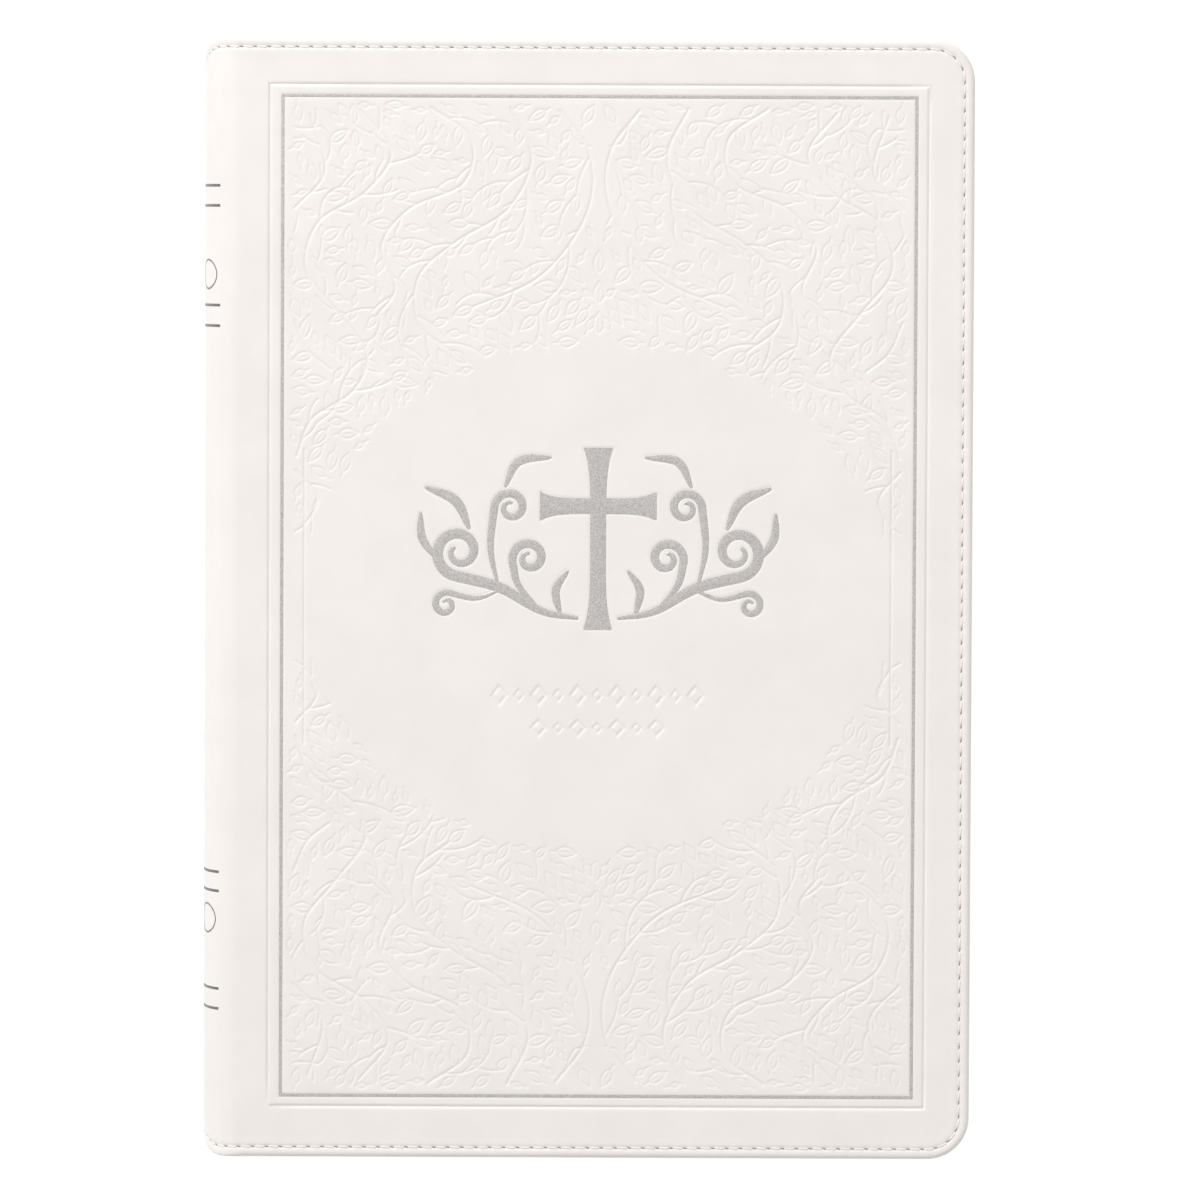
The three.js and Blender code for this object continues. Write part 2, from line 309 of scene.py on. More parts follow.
def leather_half(name, side, material):
    """One half of the leather, as a closed sheet with turned edges and an opening for the stamped panel."""
    count = len(OUTLINE)
    points = []

    def margin_row(distance, height):
        place = OUTLINE + INWARD * distance
        place[0, 0] = place[-1, 0] = 0
        points.append(np.column_stack([place, height]))

    u = OUTLINE[:, 0]
    thick = edge_thickness(u)
    margin_row(RIM_WIDTH, np.full(count, -SKIN))
    for distance in UNDER_ROWS[::-1]:
        margin_row(distance, -thick + rolled(distance, thick / 2))
    for distance in TOP_ROWS:
        margin_row(distance, margin_height(distance, u, STITCH_RUN))
    margin_rows = len(points)
    faces = [face[::-1] for face in grid_faces(margin_rows, count)]

    ring_first = margin_rows * count
    ring_size = len(hole_ring(0))
    for distance in RULE_ROWS:
        ring = hole_ring(distance)
        points.append(np.column_stack([ring, np.full(ring_size, float(rule_groove(distance)))]))
    points.append(np.column_stack([hole_ring(0), np.full(ring_size, -SKIN)]))
    ring_rows = len(RULE_ROWS) + 1
    faces += grid_faces(ring_rows, ring_size, closed_columns=True, first=ring_first)

    # Points over the open stretch between, close together where the spine bends
    bend = np.concatenate([np.arange(0, SPINE_ARC + 1.5, BEND_STEP), [SPINE_ARC + 2.5]])
    y_end = HEAD - SPINE_CORNER - TOP_ROWS[-1] - 2
    inner = np.array([(a, b) for a in bend for b in np.linspace(-y_end, y_end, FILL_LINES)])
    first_inner = sum(map(len, points))
    for height in (0.0, -SKIN):
        points.append(np.column_stack([inner, np.full(len(inner), height)]))

    flat = np.vstack(points)
    # The fill is worked out on a slightly barrelled copy, where no edge is quite straight
    centred = flat[:, :2] - (FORE_U / 2, 0)
    barrel = centred * (1 - BARREL * centred[:, ::-1] ** 2)

    def fill(row, ring, inner_from, upward):
        """Triangles between a margin row, with the crown's points, and a ring round the opening."""
        border = [row * count + i for i in range(count)]
        opening = [ring_first + ring * ring_size + i for i in range(ring_size)]
        index = border + opening + [inner_from + i for i in range(len(inner))]
        fixed = [(i, i + 1) for i in range(count - 1)]
        fixed += [(count + i, count + (i + 1) % ring_size) for i in range(ring_size)]
        found = delaunay_2d_cdt([Vector(barrel[i]) for i in index], fixed, [], 0, 1e-6)
        source = [index[original[0]] for original in found[3]]
        triangles = np.array(found[2])
        middles = np.array([v[:] for v in found[0]])[triangles].mean(1)
        seam = [inner_from + i for i in range(FILL_LINES)]
        keep = inside_loop(middles, barrel[border + seam]) & ~inside_loop(middles, barrel[opening])
        for a, b, c in triangles[keep]:
            faces.append((source[a], source[b], source[c]) if upward else (source[a], source[c], source[b]))

    fill(margin_rows - 1, 0, first_inner, True)
    fill(0, ring_rows - 1, first_inner + len(inner), False)

    faces.append(seam_face(count, margin_rows, first_inner, len(inner)))
    return new_piece(name, wrap(flat, side), faces, material, flip=side < 0)


def seam_face(count, margin_rows, first_inner, inner_count):
    """Closes the sheet down the crown, where the margin's rows and the open stretch both end."""
    inner_turn = 1 + len(UNDER_ROWS)
    head = [row * count for row in range(margin_rows)]
    tail = [row + count - 1 for row in head]
    outer = [first_inner + i for i in reversed(range(FILL_LINES))]
    inner = [i + inner_count for i in outer]
    loop = head[inner_turn:] + outer + tail[::-1] + inner[::-1] + head[:inner_turn]
    return tuple(loop[::-1])


# ---- the stamped vines

VINE_HALF = (66.2, 105.6)  # the vines stay inside this half width and half height
CLEAR_OVAL = (61.5, 54.0)  # and outside this oval
LOWEST_VINE = 13
STEM_HALF = 0.2
STEM_STEP = 0.8
SHORTEST_LEAF = 2.4
LEAF_GAP = 0.3
LEAF_DISCS = ((0.3, 0.8), (0.55, 1), (0.8, 0.7), (1.04, 0.25))  # shares of a leaf's length and half width
MAIN_STEMS = (
    ((8.5, 104), (2.6, 96), (1.5, 87), (5.0, 77.5), (13.5, 68), (27, 62)),
    ((19, 104.5), (14.5, 94), (19.5, 83), (30.5, 76), (38.5, 68.5), (38.5, 58.5), (31.5, 52.5)),
    ((36, 104.5), (27.5, 98), (29, 88.5), (40.5, 83), (46.5, 75), (43.5, 66), (47.5, 60)),
    (
        *((64.5, 30), (61.2, 38), (52.5, 44), (49.6, 52), (56, 61)),
        *((62.6, 70), (60, 80), (50, 86.5), (44.5, 95), (51, 104)),
    ),
    ((57.2, 48.5), (62, 52.5), (65, 59)),
    ((64.6, 27), (60, 21), (62.8, 15)),
    ((65, 83), (58.6, 91), (61.8, 103)),
)


def smooth_line(points, step=0.9):
    """A smooth line through the points, sampled at about equal steps."""
    points = [np.array(p, float) for p in points]
    points = [2 * points[0] - points[1], *points, 2 * points[-1] - points[-2]]
    line = []
    for a, b, c, d in zip(points, points[1:], points[2:], points[3:]):
        count = max(2, int(math.dist(b, c) / step))
        for t in np.arange(count) / count:
            bend = (2 * a - 5 * b + 4 * c - d) * t**2 + (3 * b - a - 3 * c + d) * t**3
            line.append(0.5 * (2 * b + (c - a) * t + bend))
    line.append(points[-2])
    return np.array(line)


class Vines:
    """One quarter of the vines, grown from the main stems. Each part keeps clear of the ones before."""

    def __init__(self, seed):
        self.rng = random.Random(seed)
        self.stems = []
        self.leaves = []
        self.spots = np.empty((0, 3))
        for k, points in enumerate(MAIN_STEMS):
            self.add_stem(smooth_line(points), STEM_HALF * (1.15 if k < 4 else 0.9), STEM_HALF * 0.8)
        for points, _, _ in self.stems[: len(MAIN_STEMS)]:
            self.dress(points, 0)
        self.fill()

    def inside(self, place, margin):
        x, y = place
        if not (0.7 + margin < x < VINE_HALF[0] - margin and LOWEST_VINE < y < VINE_HALF[1] - margin):
            return False
        return math.hypot(x / (CLEAR_OVAL[0] + margin), y / (CLEAR_OVAL[1] + margin)) > 1

    def clear(self, place, radius, root, root_radius):
        away = np.hypot(self.spots[:, 0] - place[0], self.spots[:, 1] - place[1])
        near_root = np.hypot(self.spots[:, 0] - root[0], self.spots[:, 1] - root[1]) < root_radius
        return not ((away < self.spots[:, 2] + radius) & ~near_root).any()

    def mark(self, rows):
        self.spots = np.vstack([self.spots, np.array(rows, float).reshape(-1, 3)])

    def add_stem(self, points, half, end_half):
        self.stems.append((points, half, end_half))
        self.mark([(x, y, half) for x, y in points])

    def add_leaf(self, base, heading, length):
        """Adds a leaf where there is room for it, or a smaller one."""
        forward = np.array([math.cos(heading), math.sin(heading)])
        for size in (length, 0.85 * length, 0.7 * length, 0.55 * length):
            if size < SHORTEST_LEAF:
                return False
            half = size * self.rng.uniform(0.2, 0.26)
            discs = [(base + forward * size * s, half * r) for s, r in LEAF_DISCS]
            near = 0.32 * size + 0.5
            if all(self.inside(p, 0.2) and self.clear(p, r + LEAF_GAP, base, near) for p, r in discs):
                self.leaves.append((base, heading, size, half))
                self.mark([(*p, r) for p, r in discs])
                return True
        return False

    def grow(self, start, heading, length, curl, half, order, shortest=4):
        """A side shoot that curls to one side until it is long enough or meets something."""
        points = [np.array(start, float)]
        for i in range(int(length / STEM_STEP)):
            heading += curl * STEM_STEP * (1 + 0.09 * i)
            place = points[-1] + STEM_STEP * np.array([math.cos(heading), math.sin(heading)])
            apart = 0.85 if i * STEM_STEP > 2.4 else 0.1
            if not self.inside(place, 0.8) or not self.clear(place, apart, start, 2.2):
                break
            points.append(place)
        if len(points) < shortest:
            return False
        self.add_stem(np.array(points), half, half * 0.6)
        self.dress(points, order)
        return True

    def dress(self, points, order):
        """A leaf at the tip, and leaves or shoots to alternate sides along a stem."""
        rng = self.rng
        side = rng.choice((-1, 1))
        tip = points[-1] - points[-2]
        self.add_leaf(points[-1], math.atan2(tip[1], tip[0]), rng.uniform(3.2, 4.6))
        run, gap = 0.0, rng.uniform(2.4, 4.0)
        for a, b in zip(points[1:], points[2:]):
            run += math.dist(a, b)
            if run < gap:
                continue
            run, gap = 0.0, rng.uniform(2.6, 4.2)
            heading = math.atan2(b[1] - a[1], b[0] - a[0])
            shoots = order < 3 and rng.random() < (0.75, 0.45, 0.35)[order]
            if shoots:
                length = rng.uniform(7, 19) / (1 + 0.5 * order)
                curl = -side * rng.uniform(0.03, 0.13)
                thin = STEM_HALF * (0.8 if order < 1 else 0.66)
                self.grow(b, heading + side * rng.uniform(0.6, 1.0), length, curl, thin, order + 1)
            else:
                self.add_leaf(b, heading + side * rng.uniform(0.7, 1.15), rng.uniform(3.6, 5.6))
            side = -side

    def fill(self):
        """Short-stalked leaves in the space that is left."""
        rng = self.rng
        across, along = np.arange(1.5, VINE_HALF[0], 0.9), np.arange(LOWEST_VINE + 1, VINE_HALF[1], 0.9)
        places = [(x, y) for x in across for y in along]
        rng.shuffle(places)
        for place in places:
            place = np.array(place)
            if not self.inside(place, 0.6) or not self.clear(place, 1.5, place, 0):
                continue
            heading = rng.uniform(0, 2 * math.pi)
            forward = np.array([math.cos(heading), math.sin(heading)])
            if self.add_leaf(place, heading, 4.4):
                stalk = place - np.outer(np.linspace(1.1, 0, 3), forward)
                if self.clear(stalk[0], 0.3, place, 0.6):
                    self.add_stem(stalk, STEM_HALF * 0.5, STEM_HALF * 0.6)


class Relief:
    """Depths pressed into an even grid of places. They only ever deepen."""

    def __init__(self, x, y, depth=None):
        self.x, self.y = x, y
        self.depth = np.zeros((len(y), len(x)), np.float32) if depth is None else depth

    def window(self, low, high):
        """The part of the grid between two corners, and its places."""
        corner = np.array([self.x[0], self.y[0]])
        j0, i0 = (max(int(step), 0) for step in (low - corner) / RELIEF_CELL)
        j1, i1 = (int(step) + 2 for step in (high - corner) / RELIEF_CELL)
        return np.s_[i0:i1, j0:j1], *np.meshgrid(self.x[j0:j1], self.y[i0:i1])

    def deepen(self, part, depth):
        np.maximum(self.depth[part], depth, out=self.depth[part])

    def line(self, points, half, end_half, depth, soft=0.16):
        """A round-bottomed line through points, tapering from one half width to another."""
        halves = np.linspace(half, end_half, len(points))
        for a, b, width in zip(points, points[1:], halves):
            reach = width + 3 * soft
            part, x, y = self.window(np.minimum(a, b) - reach, np.maximum(a, b) + reach)
            d = b - a
            t = np.clip(((x - a[0]) * d[0] + (y - a[1]) * d[1]) / (d @ d), 0, 1)
            away = np.hypot(x - a[0] - t * d[0], y - a[1] - t * d[1])
            self.deepen(part, depth * np.exp(-((away / (width + soft * 0.4)) ** 4)))

    def leaf(self, base, heading, length, half):
        """A pressed leaf: a deep outline, a raised blade inside it and a midrib."""
        forward = np.array([math.cos(heading), math.sin(heading)])
        middle = base + forward * length / 2
        part, x, y = self.window(middle - length * 0.7, middle + length * 0.7)
        along = ((x - base[0]) * forward[0] + (y - base[1]) * forward[1]) / length
        across = -(x - base[0]) * forward[1] + (y - base[1]) * forward[0]
        inside = np.clip(along, 0, 1)
        edge = half * np.sin(math.pi * inside**0.8)
        beyond = np.maximum(np.abs(along - 0.5) - 0.5, 0) * length
        outline = LEAF_DEPTH * np.exp(-(((np.abs(np.abs(across) - edge) + beyond) / LEAF_SPREAD) ** 2))
        rib = MIDRIB_DEPTH * np.exp(-((across / MIDRIB_SPREAD) ** 2) - (beyond / 0.2) ** 2) * (along < 0.85)
        self.deepen(part, np.maximum(outline, rib).astype(np.float32))


# How deep the stamping is, and how finely the panel's mesh follows it
STEM_DEPTH = 0.16
AXIS_LEAVES = (56.5, 63, 69.5)
AXIS_LEAF_LENGTH = 4.6
LEAF_DEPTH = 0.16
LEAF_SPREAD = 0.17
MIDRIB_DEPTH = 0.09
MIDRIB_SPREAD = 0.13
FOIL_DEPTH = 0.1
BLIND_ROWS = ((-21.0, 11, 2.3), (-28.0, 7, 1.9))  # place, number of lozenges, half height
BLIND_PITCH = 4.2
BLIND_DEPTH = 0.2
PANEL_BOTTOM = -0.95
MESH_CELL = 2 * RELIEF_CELL
FLATNESS = 0.005
LARGEST_BLOCK = 8
PANEL_ROWS = (("tail", 0, 376), ("middle", 376, 744), ("head", 744, PANEL_CELLS[1]))
PANEL_COLUMNS = (("spine", 0, 360), ("fore", 360, PANEL_CELLS[0]))


def stamped_rules(relief):
    """The blind rule at the panel's edge, the seat of the foil rule and the short upright rules."""
    x, y = np.meshgrid(relief.x, relief.y)
    edge = np.minimum(RULE_HALF[0] - x, RULE_HALF[1] - y)
    relief.deepen(np.s_[:], -rule_groove(edge))
    foil = np.abs(np.maximum(x - FOIL_HALF[0], y - FOIL_HALF[1]))
    relief.deepen(np.s_[:], FOIL_DEPTH * np.exp(-((foil / (FOIL_WIDTH * 0.75)) ** 6)))


def add_vines(relief):
    vines = Vines(seed=7)
    for points, half, end_half in vines.stems:
        relief.line(points, half, end_half, STEM_DEPTH * (0.7 + 0.3 * min(half / STEM_HALF, 1)))
    for leaf in vines.leaves:
        relief.leaf(*leaf)
    for y in AXIS_LEAVES:
        relief.leaf(np.array([0.0, y]), math.pi / 2, AXIS_LEAF_LENGTH, 0.24 * AXIS_LEAF_LENGTH)


def blind_ornament(relief):
    """Two short rows of small lozenges under the middle of the panel, pressed without foil."""
    x, y = np.meshgrid(relief.x, relief.y)
    for row_y, count, half_height in BLIND_ROWS:
        for k in range(count):
            place = (k - (count - 1) / 2) * BLIND_PITCH
            size = 0.62 if k % 2 else 1.0
            reach = np.abs(x - place) / (0.42 * BLIND_PITCH * size) + np.abs(y - row_y) / (half_height * size)
            relief.deepen(np.s_[:], BLIND_DEPTH * np.exp(-(((reach - 0.85) / 0.22) ** 2)))


def emblem_seat(relief):
    """Presses the emblem's seat, a little wider than its strokes."""
    shift = np.array([0, EMBLEM_Y - PATTERN_Y])
    for points, halves in emblem_strokes():
        for a, b, half in zip(points + shift, points[1:] + shift, halves):
            reach = half + 0.8
            part, x, y = relief.window(np.minimum(a, b) - reach, np.maximum(a, b) + reach)
            d = b - a
            size = max(math.hypot(*d), 1e-6)
            along = ((x - a[0]) * d[0] + (y - a[1]) * d[1]) / size
            across = np.abs((x - a[0]) * d[1] - (y - a[1]) * d[0]) / size
            outside = np.maximum(across - half, np.maximum(-along, along - size))
            relief.deepen(part, EMBLEM_DEPTH * np.clip((SEAT_MARGIN - outside) / SEAT_EASE, 0, 1))


def panel_heights(front):
    """A whole panel's heights: one quarter mirrored both ways, with the middle's ornaments on the front."""
    x, y = (np.arange(round(half / RELIEF_CELL) + 1) * RELIEF_CELL for half in RULE_HALF)
    quarter = Relief(x, y)
    stamped_rules(quarter)
    if front:
        upright = np.array([(INNER_RULE_X, 0.0), (INNER_RULE_X, INNER_RULE_END)])
        quarter.line(upright, 0.16, 0.16, 0.2)
        add_vines(quarter)
    upper = np.hstack([quarter.depth[:, :0:-1], quarter.depth])
    depth = np.vstack([upper[:0:-1], upper])
    if front:
        x, y = ((np.arange(size) - (size - 1) / 2) * RELIEF_CELL for size in depth.shape[::-1])
        whole = Relief(x, y, depth)
        blind_ornament(whole)
        emblem_seat(whole)
    for axis in (0, 1):
        depth = (np.roll(depth, 1, axis) + 2 * depth + np.roll(depth, -1, axis)) / 4
    depth[[0, -1], :] = RULE_DEPTH
    depth[:, [0, -1]] = RULE_DEPTH
    return -depth[::2, ::2]


def panel_tile(name, heights, low, side, material):
    """A closed tile of the panel, its cells fine where it is stamped and coarse where it is flat."""
    used = np.zeros(heights.shape, bool)
    blocks = []

    def split(i, j, size):
        patch = heights[i : i + size + 1, j : j + size + 1]
        if size == 1 or patch.max() - patch.min() < FLATNESS:
            used[[i, i, i + size, i + size], [j, j + size, j, j + size]] = True
            blocks.append((i, j, size))
            return
        half = size // 2
        for a in (i, i + half):
            for b in (j, j + half):
                split(a, b, half)

    for i in range(0, heights.shape[0] - 1, LARGEST_BLOCK):
        for j in range(0, heights.shape[1] - 1, LARGEST_BLOCK):
            split(i, j, LARGEST_BLOCK)
    index = np.full(heights.shape, -1)
    at = np.argwhere(used)
    index[used] = np.arange(len(at))
    points = np.column_stack([low[0] + at[:, 1] * MESH_CELL, low[1] + at[:, 0] * MESH_CELL, heights[used]])
    faces = []
    for i, j, size in blocks:
        if size == 1:
            faces.append((index[i, j], index[i, j + 1], index[i + 1, j + 1], index[i + 1, j]))
            continue
        loop = [*index[i, j : j + size], *index[i : i + size, j + size]]
        loop += [*index[i + size, j + size : j : -1], *index[i + size : i : -1, j]]
        faces.append(tuple(k for k in loop if k >= 0))
    rim = [*index[0, :-1], *index[:-1, -1], *index[-1, :0:-1], *index[:0:-1, 0]]
    rim = [k for k in rim if k >= 0]
    first = len(points)
    under = points[rim] * (1, 1, 0) + (0, 0, PANEL_BOTTOM)
    points = np.vstack([points, under, [under.mean(0)]])
    for k, a in enumerate(rim):
        after = (k + 1) % len(rim)
        faces.append((rim[after], a, first + k, first + after))
        faces.append((first + after, first + k, len(points) - 1))
    faces = [tuple(int(k) for k in face) for face in faces]
    flat = points * (1, 1, side) + (0, 0, MIDDLE_Z + side * HALF_THICKNESS)
    return new_piece(name, flat, faces, material, flip=side < 0)


def add_panels(material):
    """The stamped panels, in six tiles each."""
    left, tail = PATTERN_X - RULE_HALF[0], PATTERN_Y - RULE_HALF[1]
    for name, side in (("front", 1), ("back", -1)):
        heights = panel_heights(side > 0)
        for row, first_row, last_row in PANEL_ROWS:
            for column, first, last in PANEL_COLUMNS:
                part = heights[first_row : last_row + 1, first : last + 1]
                low = (left + first * MESH_CELL, tail + first_row * MESH_CELL)
                piece = panel_tile(f"{name}_panel_{row}_{column}", part, low, side, material)
                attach(piece, f"{name}_cover")
                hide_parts(f"{name}_leather")


# ---- silver stamping

FOIL_TOP = -0.015
FOIL_BOTTOM = -0.3
SPINE_FOIL_TOP = 0.03
EMBLEM_Y = 14.0
EMBLEM_DEPTH = 0.1
SEAT_MARGIN = 0.3
SEAT_EASE = 0.25
SPINE_RULES = (88.2, 83.9, 62.6, 58.2, -58.9, -63.0, -84.0, -88.3)
SPINE_RULE_END = 4.15  # how far short of the shoulder the spine's rules end, seen from above
SPINE_LOOPS = (69.2, -69.1)
SPINE_RING_END = 4.9
SPINE_RING = (5.0, 3.1)
SPINE_CROWN_RING = (3.4, 4.8)
SPINE_LOZENGES = 9
SPINE_LOZENGE_PITCH = 10.6


def tapered_half(count, half):
    """Thin at both ends and full between them."""
    share = np.linspace(0, 1, count)
    return half * (0.3 + 0.7 * np.sin(math.pi * share) ** 0.8)


def flared_half(count, half, flare):
    """Even in the middle and spread at both ends."""
    share = np.abs(np.linspace(-1, 1, count))
    return half + flare * share**5


def spiral(middle, radius, start, turns, shrink=0.25, steps=48):
    """Points winding in towards a middle."""
    share = np.linspace(0, 1, steps)
    angle = start + 2 * math.pi * turns * share
    reach = radius * (1 - (1 - shrink) * share)
    return np.column_stack([middle[0] + reach * np.cos(angle), middle[1] + reach * np.sin(angle)])


def scroll(lead, radius, turns):
    """A stem through its leading points that winds on into a spiral, to the left for positive turns."""
    lead = smooth_line(lead, 0.5)
    forward = (lead[-1] - lead[-2]) / math.dist(lead[-1], lead[-2])
    outward = np.array([forward[1], -forward[0]]) * math.copysign(1, turns)
    wind = spiral(lead[-1] - radius * outward, radius, math.atan2(outward[1], outward[0]), turns)
    return np.vstack([lead, wind[1:]])


def emblem_strokes():
    """A plain cross between scrolls, as strokes about its own middle: points and half widths."""
    upright = np.column_stack([np.zeros(40), np.linspace(18.5, -20.5, 40)])
    bar = np.column_stack([np.linspace(-12.5, 12.5, 30), np.full(30, 6.0)])
    strokes = [(upright, flared_half(40, 1.7, 1.5)), (bar, flared_half(30, 1.7, 1.5))]
    sprays = (
        (scroll([(4.2, -18), (12, -16.5), (21, -11.5), (31, -8.9)], 5.2, 1.35), 1.2),
        (scroll([(12.5, -16.2), (17, -11), (18.3, -6)], 3.7, 1.3), 0.95),
        (scroll([(21.4, -11), (23, -3), (22.2, 6)], 3.5, 1.3), 0.9),
        (scroll([(20.5, -11.8), (26, -13.8), (32, -12.6)], 2.6, -1.2), 0.75),
        (smooth_line([(27.5, 1), (30.5, 7), (37, 10)], 0.5), 1.1),
        (smooth_line([(34.4, -5.5), (37.6, -1), (38, 4.5)], 0.5), 0.9),
        (smooth_line([(8, -17.4), (9, -12), (6.4, -7.8)], 0.5), 0.9),
        (smooth_line([(20, 10), (17, 15.5), (10, 16.5)], 0.5), 0.95),
    )
    for points, half in sprays:
        for mirror in (1, -1):
            strokes.append((points * (mirror, 1), tapered_half(len(points), half)))
    return strokes


def ribbon_strip(points, halves, top, bottom):
    """A flat band with eased edges along points in the flat pattern, as a closed solid."""
    forward = np.gradient(points, axis=0)
    forward /= np.hypot(*forward.T)[:, None]
    across = np.column_stack([-forward[:, 1], forward[:, 0]])
    ease = 0.03
    eased = top - ease
    profile = ((-1, bottom), (-1, eased), (-0.8, top), (0, top), (0.8, top), (1, eased), (1, bottom))
    verts = []
    for place, side, half in zip(points, across, halves):
        verts += [(*(place + side * half * k), h) for k, h in profile]
    size = len(profile)
    faces = [f[::-1] for f in grid_faces(len(points), size, closed_columns=True)]
    faces += [tuple(range(size)), tuple(range((len(points) - 1) * size, len(points) * size))[::-1]]
    return verts, faces


def spine_strokes():
    """Rules, loops and a column of lozenges on one half of the spine, in the flat pattern."""
    reach = float(u_at(SHOULDER - SPINE_RULE_END))
    strokes = []
    for y in SPINE_RULES:
        line = np.column_stack([np.linspace(0, reach, 30), np.full(30, y)])
        strokes.append((line, np.full(30, 0.3)))
    turn = np.linspace(0, 2 * math.pi, 37)
    half_turn = np.linspace(-math.pi / 2, math.pi / 2, 19)
    loop_u = float(u_at(SHOULDER - SPINE_RING_END)) - SPINE_RING[0]
    for y in SPINE_LOOPS:
        for middle, (wide, high), angle in ((loop_u, SPINE_RING, turn), (0, SPINE_CROWN_RING, half_turn)):
            loop = np.column_stack([middle + wide * np.cos(angle), y + high * np.sin(angle)])
            strokes.append((loop, np.full(len(loop), 0.2)))
    for k in range(SPINE_LOZENGES):
        y = (k - (SPINE_LOZENGES - 1) / 2) * SPINE_LOZENGE_PITCH
        wide = 3.6 if k % 2 else 2.2
        corner = np.array([(0, y + 4.0), (wide, y), (0, y - 4.0)])
        line = np.vstack([np.linspace(a, b, 8) for a, b in zip(corner, corner[1:])])
        strokes.append((line, np.full(16, 0.32)))
    return strokes


def foil_piece(name, strokes, top, drop, side, material, shift=(0, 0)):
    """One piece of foil strokes, each lying a little lower than the one before so that none coincide."""
    gather = Gather()
    for k, (points, halves) in enumerate(strokes):
        moved = np.concatenate([[True], np.hypot(*np.diff(points, axis=0).T) > 1e-4])
        strip = ribbon_strip(points[moved] + np.array(shift), halves[moved], top - drop * k, FOIL_BOTTOM)
        gather.add(*strip)
    return new_piece(name, wrap(gather.verts, side), gather.faces, material, flip=side < 0)


def add_foil(material, spine_shade_material):
    """The frame, the emblem and the spine's stamping."""
    eased = FOIL_TOP - 0.02
    edge = ((-1, FOIL_BOTTOM), (-1, eased), (-0.5, FOIL_TOP))
    profile = (*edge, *((-k, h) for k, h in edge[::-1]))
    verts = []
    for x, y in ((-1, -1), (1, -1), (1, 1), (-1, 1)):
        for k, h in profile:
            grow = k * FOIL_WIDTH / 2
            place = (PATTERN_U + x * FOIL_HALF[0] + grow * x, PATTERN_Y + y * FOIL_HALF[1] + grow * y)
            verts.append((*place, h))
    ring = grid_faces(4, len(profile), closed_rows=True, closed_columns=True)
    piece = new_piece("foil_frame", wrap(verts, 1), ring, material)
    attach(piece, "front_cover")

    piece = foil_piece("foil_emblem", emblem_strokes(), FOIL_TOP, 0.0015, 1, material, (PATTERN_U, EMBLEM_Y))
    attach(piece, "front_cover")
    for side, name in ((1, "front"), (-1, "back")):
        name = f"spine_foil_{name}"
        # The spine's stamping takes the darkened foil, whose colour carries painted shade
        piece = foil_piece(name, spine_strokes(), SPINE_FOIL_TOP, 0.0005, side, spine_shade_material)
        bend_with_cover(piece)


# ---- the text block

PAGE_CORNER = 7.0
RIDGES = 13  # visible leaf groups at a section's edge
FOLD_ROOM = 26.0
FLYLEAF_START = 5.2  # from the shoulder


def page_outline(x0, x1, half_height, room):
    """A leaf's plan from the back's tail round the fore-edge to the back's head, with inward directions.
    The steps along x are close together near the back, where the leaves bend."""
    close = np.linspace(x0, x0 + room, max(2, round(room / 1.2)) + 1)
    wide = np.linspace(close[-1], x1 - PAGE_CORNER, 9)[1:]
    along = np.concatenate([close, wide])
    turn = np.linspace(-math.pi / 2, 0, 9)[1:]
    middle = np.array([x1 - PAGE_CORNER, PAGE_CORNER - half_height])
    bend = middle + PAGE_CORNER * np.column_stack([np.cos(turn), np.sin(turn)])
    tail = np.vstack([np.column_stack([along, np.full(len(along), -half_height)]), bend])
    round_corner = -np.column_stack([np.cos(turn), np.sin(turn)])
    inward = np.vstack([np.tile((0.0, 1.0), (len(along), 1)), round_corner])
    mirror = np.array([1, -1])
    return np.vstack([tail, tail[::-1] * mirror]), np.vstack([inward, inward[::-1] * mirror]), len(along)


def leaves_piece(name, start_x, low, high, ridges, materials, seed):
    """A bundle of leaves with a round back and fine ridges at its edges."""
    rng = random.Random(seed)
    bottom, top = low[2], high[2]
    outline, inward, straight = page_outline(start_x, *high[:2], FOLD_ROOM)
    count = len(outline)
    levels = 2 * ridges + 1
    radius = (top - bottom) / 2
    verts = []
    for k in range(levels):
        z = bottom + (top - bottom) * k / (levels - 1)
        groove = rng.uniform(0.03, 0.08) if k % 2 == 0 else rng.uniform(0, 0.02)
        back = radius - math.sqrt(max(radius**2 - (z - bottom - radius) ** 2, 0))
        ring = outline + inward * groove
        ring[[0, -1], 0] += back
        verts += [(x, y, z) for x, y in ring]
    faces = grid_faces(levels, count, closed_columns=True)
    edges = len(faces)
    for level, upward in ((0, False), (levels - 1, True)):
        first = level * count
        for i in range(straight - 1):
            face = (first + i, first + i + 1, first + count - 2 - i, first + count - 1 - i)
            faces.append(face if upward else face[::-1])
        cap = tuple(range(first + straight - 1, first + count - straight + 1))
        faces.append(cap if upward else cap[::-1])
    piece = new_piece(name, verts, faces, materials[0], smooth_angle=math.radians(20))
    piece.data.materials.append(materials[1])
    for k, polygon in enumerate(piece.data.polygons):
        polygon.material_index = 1 if k < edges else 0
    return piece


def add_text_block(page, gilt, endpaper):
    """Twelve sections, each bending from the back of the block to where its leaves lie flat."""
    for k in range(1, 13):
        name = f"section_{k:02d}"
        fold_low, _ = node_box(f"{name}_fold")
        leaf_low, leaf_high = node_box(f"{name}_leaves")
        piece = leaves_piece(f"{name}_paper", fold_low[0], leaf_low, leaf_high, RIDGES, (page, gilt), k)
        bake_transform(piece)
        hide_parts(f"{name}_fold", f"{name}_leaves")
    for name in ("front_flyleaf", "back_flyleaf"):
        low, high = node_box(name)
        start_x = SHOULDER + FLYLEAF_START
        piece = leaves_piece(f"{name}_paper", start_x, low, high, 1, (endpaper, gilt), 40)
        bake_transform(piece)
        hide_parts(name)


RIBBON_WIDTH = 10.0
RIBBON_THICKNESS = 0.16
NOTCH_DEPTH = 3.5
NOTCH_START = 0.93  # share of the ribbon's length


